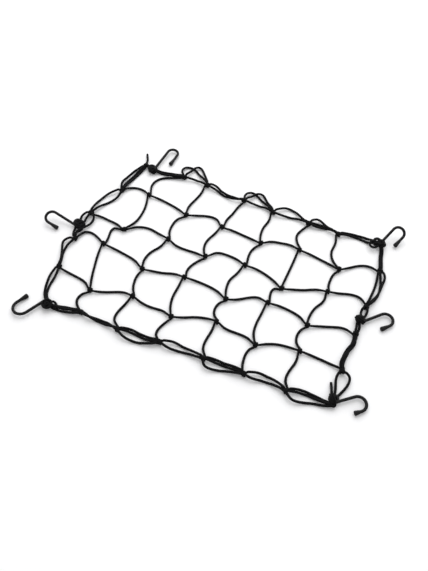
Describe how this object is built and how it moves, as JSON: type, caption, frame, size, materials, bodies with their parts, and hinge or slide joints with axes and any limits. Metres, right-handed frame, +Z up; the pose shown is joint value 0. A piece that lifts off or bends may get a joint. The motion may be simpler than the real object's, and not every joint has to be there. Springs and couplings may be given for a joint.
{
  "type": "cargo net",
  "caption": "Small elastic luggage net of knotted black cord with a drawn-in border cord and coated wire hooks at its corners and short sides.",
  "frame": {"origin": "middle of the whole outline, hooks included, on the surface that the net lies on", "axes": "+X along the net's long side, to the right seen from its front edge; +Y toward its back edge; +Z up"},
  "size_m": [0.5363, 0.3843, 0.0178],
  "materials": {
    "mesh_cord": "braided elastic cord, matt with a faint sheen",
    "border_cord": "braided elastic cord, matt with a faint sheen",
    "hook_wire": "dipped plastic coating on steel wire, soft gloss"
  },
  "bodies": {
    "root": {"net_mesh": "mesh_cord", "border_cord": "border_cord", "hook_back_left": "hook_wire", "hook_back_right": "hook_wire", "hook_left": "hook_wire", "hook_right": "hook_wire", "hook_front_left": "hook_wire", "hook_front_right": "hook_wire"}
  },
  "joints": []
}
